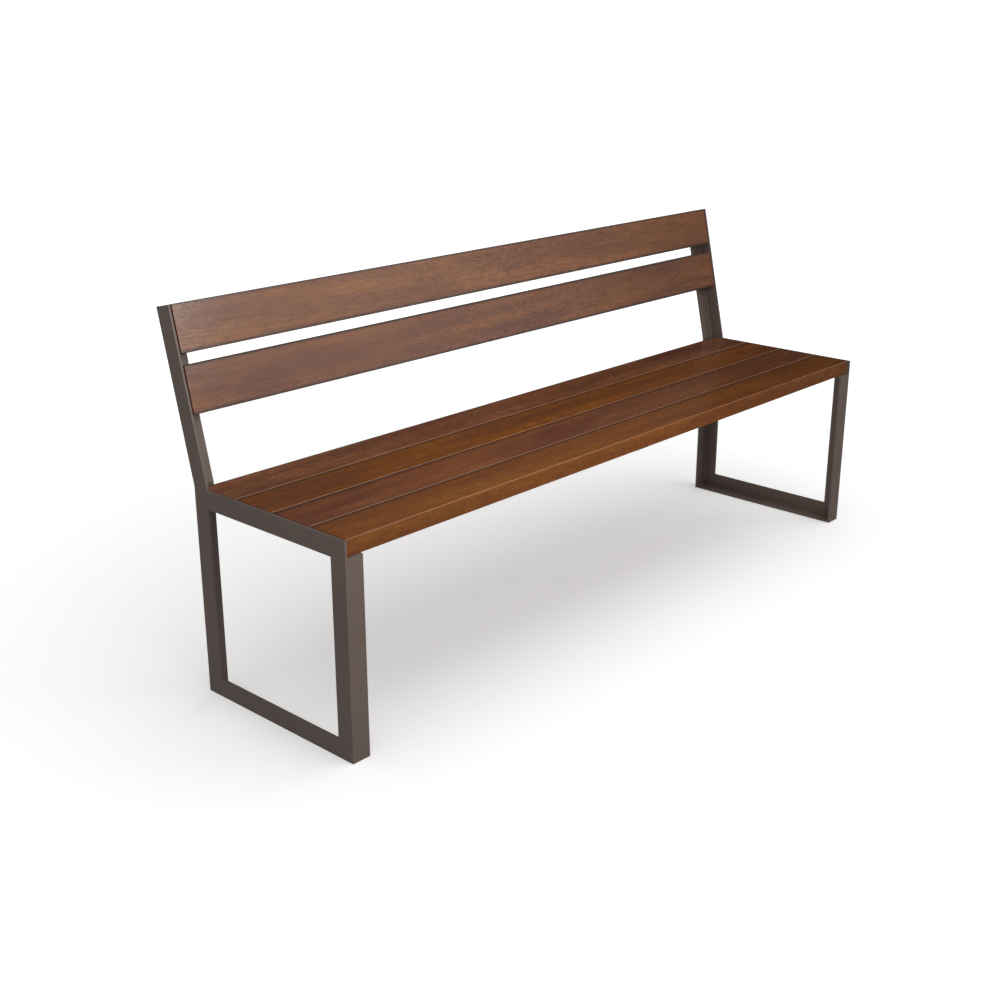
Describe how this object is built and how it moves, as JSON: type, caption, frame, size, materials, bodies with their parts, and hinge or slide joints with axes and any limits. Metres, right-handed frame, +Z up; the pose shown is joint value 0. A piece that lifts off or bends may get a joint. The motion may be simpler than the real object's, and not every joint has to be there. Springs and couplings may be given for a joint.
{
  "type": "slatted bench with backrest",
  "caption": "Street bench with hardwood slats for the seat and the reclined back, carried by two welded angle-steel end frames.",
  "frame": {"origin": "on the floor, in the middle of the overall length and the overall depth", "axes": "+X along the bench, +Y from the front of the seat towards the back, +Z up"},
  "size_m": [1.8, 0.5276, 0.81],
  "materials": {
    "powder_coated_steel": "fine-textured matt powder coat, dark bronze brown",
    "oiled_hardwood": "planed and oiled reddish-brown hardwood with darker streaks, satin",
    "stainless_fasteners": "plain stainless steel"
  },
  "bodies": {
    "root": {"left_base_rail": "powder_coated_steel", "left_front_leg": "powder_coated_steel", "left_rear_leg": "powder_coated_steel", "left_seat_rail": "powder_coated_steel", "left_back_upright": "powder_coated_steel", "right_base_rail": "powder_coated_steel", "right_front_leg": "powder_coated_steel", "right_rear_leg": "powder_coated_steel", "right_seat_rail": "powder_coated_steel", "right_back_upright": "powder_coated_steel", "seat_slat_front": "oiled_hardwood", "seat_slat_second": "oiled_hardwood", "seat_slat_third": "oiled_hardwood", "seat_slat_rear": "oiled_hardwood", "back_slat_lower": "oiled_hardwood", "back_slat_upper": "oiled_hardwood", "seat_batten": "powder_coated_steel", "left_seat_screws": "stainless_fasteners", "left_seat_washers": "stainless_fasteners", "left_back_screws": "stainless_fasteners", "left_back_washers": "stainless_fasteners", "right_seat_screws": "stainless_fasteners", "right_seat_washers": "stainless_fasteners", "right_back_screws": "stainless_fasteners", "right_back_washers": "stainless_fasteners", "batten_screws": "stainless_fasteners", "batten_washers": "stainless_fasteners"}
  },
  "joints": []
}
